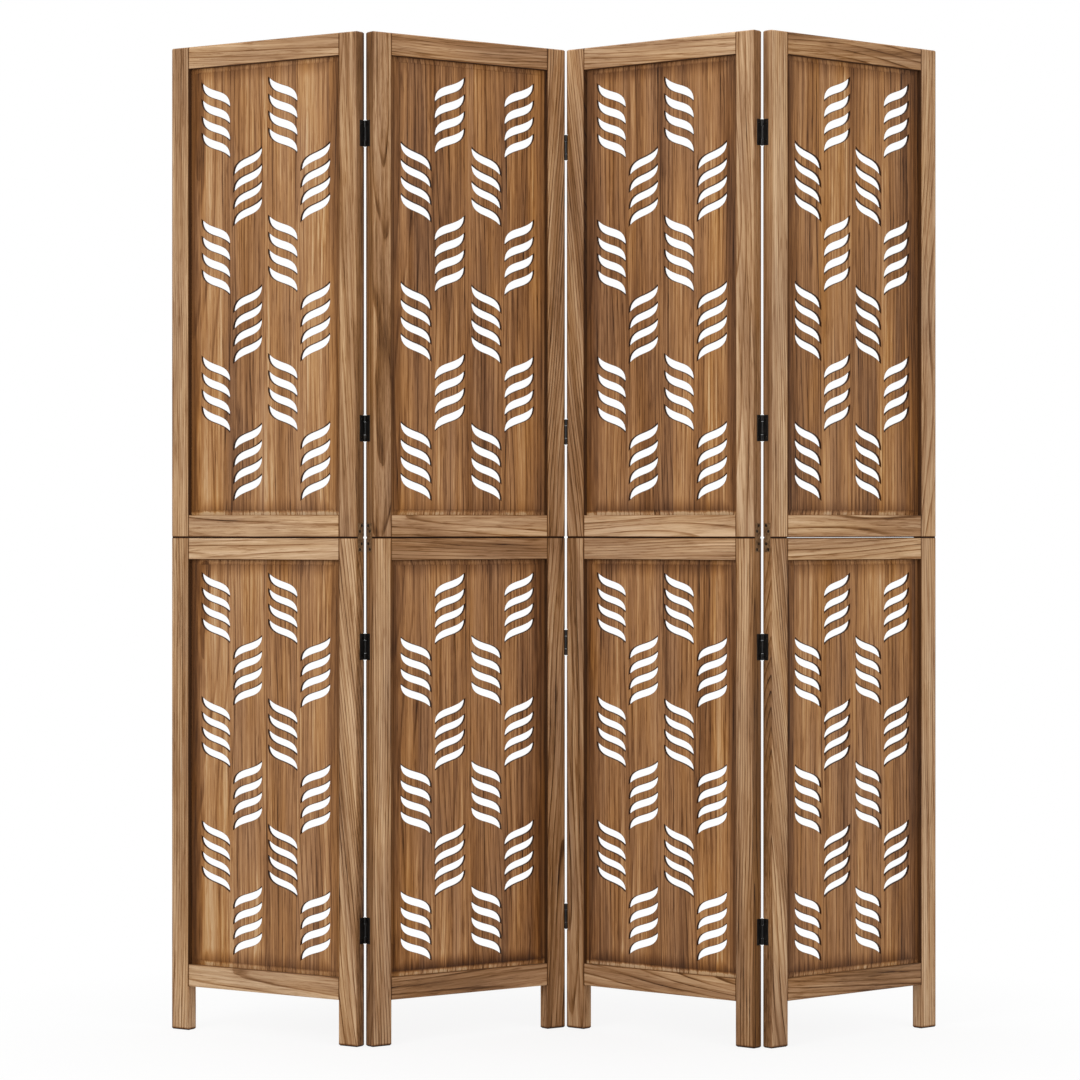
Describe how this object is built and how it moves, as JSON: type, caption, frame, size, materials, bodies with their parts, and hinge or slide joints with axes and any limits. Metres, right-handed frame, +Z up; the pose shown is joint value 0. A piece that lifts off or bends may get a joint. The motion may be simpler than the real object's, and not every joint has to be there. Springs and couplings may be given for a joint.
{
  "type": "folding room divider",
  "caption": "Folding wooden screen of hinged panels, each with an upper and a lower framed board pierced by rows of slanting leaf-shaped slots.",
  "frame": {"origin": "on the floor, under the middle of the opened screen's box", "axes": "+Z up, +X along the screen to the right as seen from the front, +Y from the front to the back"},
  "size_m": [1.3272, 0.2728, 1.7],
  "materials": {
    "stile_wood": "carbonised, thin satin lacquer",
    "rail_wood": "carbonised, thin satin lacquer",
    "board_wood": "carbonised with scorched edges, thin satin lacquer",
    "hinge_metal": "black paint, satin",
    "plate_metal": "antique brass, dull"
  },
  "bodies": {
    "panel_1": {"panel_1_upper_left_stile": "stile_wood", "panel_1_upper_right_stile": "stile_wood", "panel_1_upper_bottom_rail": "rail_wood", "panel_1_upper_top_rail": "rail_wood", "panel_1_upper_board": "board_wood", "panel_1_lower_left_stile": "stile_wood", "panel_1_lower_right_stile": "stile_wood", "panel_1_lower_bottom_rail": "rail_wood", "panel_1_lower_top_rail": "rail_wood", "panel_1_lower_board": "board_wood", "panel_1_joining_plates": "plate_metal", "seam_1_left_leaves": "hinge_metal"},
    "panel_2": {"panel_2_upper_left_stile": "stile_wood", "panel_2_upper_right_stile": "stile_wood", "panel_2_upper_bottom_rail": "rail_wood", "panel_2_upper_top_rail": "rail_wood", "panel_2_upper_board": "board_wood", "panel_2_lower_left_stile": "stile_wood", "panel_2_lower_right_stile": "stile_wood", "panel_2_lower_bottom_rail": "rail_wood", "panel_2_lower_top_rail": "rail_wood", "panel_2_lower_board": "board_wood", "panel_2_joining_plates": "plate_metal", "seam_1_right_leaves": "hinge_metal", "seam_2_left_leaves": "hinge_metal"},
    "panel_3": {"panel_3_upper_left_stile": "stile_wood", "panel_3_upper_right_stile": "stile_wood", "panel_3_upper_bottom_rail": "rail_wood", "panel_3_upper_top_rail": "rail_wood", "panel_3_upper_board": "board_wood", "panel_3_lower_left_stile": "stile_wood", "panel_3_lower_right_stile": "stile_wood", "panel_3_lower_bottom_rail": "rail_wood", "panel_3_lower_top_rail": "rail_wood", "panel_3_lower_board": "board_wood", "panel_3_joining_plates": "plate_metal", "seam_2_right_leaves": "hinge_metal", "seam_3_left_leaves": "hinge_metal"},
    "panel_4": {"panel_4_upper_left_stile": "stile_wood", "panel_4_upper_right_stile": "stile_wood", "panel_4_upper_bottom_rail": "rail_wood", "panel_4_upper_top_rail": "rail_wood", "panel_4_upper_board": "board_wood", "panel_4_lower_left_stile": "stile_wood", "panel_4_lower_right_stile": "stile_wood", "panel_4_lower_bottom_rail": "rail_wood", "panel_4_lower_top_rail": "rail_wood", "panel_4_lower_board": "board_wood", "panel_4_joining_plates": "plate_metal", "seam_3_right_leaves": "hinge_metal"}
  },
  "joints": [
    {"name": "fold_1_2", "type": "hinge", "parent": "panel_2", "child": "panel_1", "pos_m": [-0.31867, -0.10377, 0], "axis": [0, 0, 1], "range_deg": [-110.5, 69.5]},
    {"name": "fold_2_3", "type": "hinge", "parent": "panel_2", "child": "panel_3", "pos_m": [0.01966, 0.11312, 0], "axis": [0, 0, 1], "range_deg": [-105, 75]},
    {"name": "fold_3_4", "type": "hinge", "parent": "panel_3", "child": "panel_4", "pos_m": [0.34618, -0.12117, 0], "axis": [0, 0, 1], "range_deg": [-79.5, 100.5]}
  ]
}
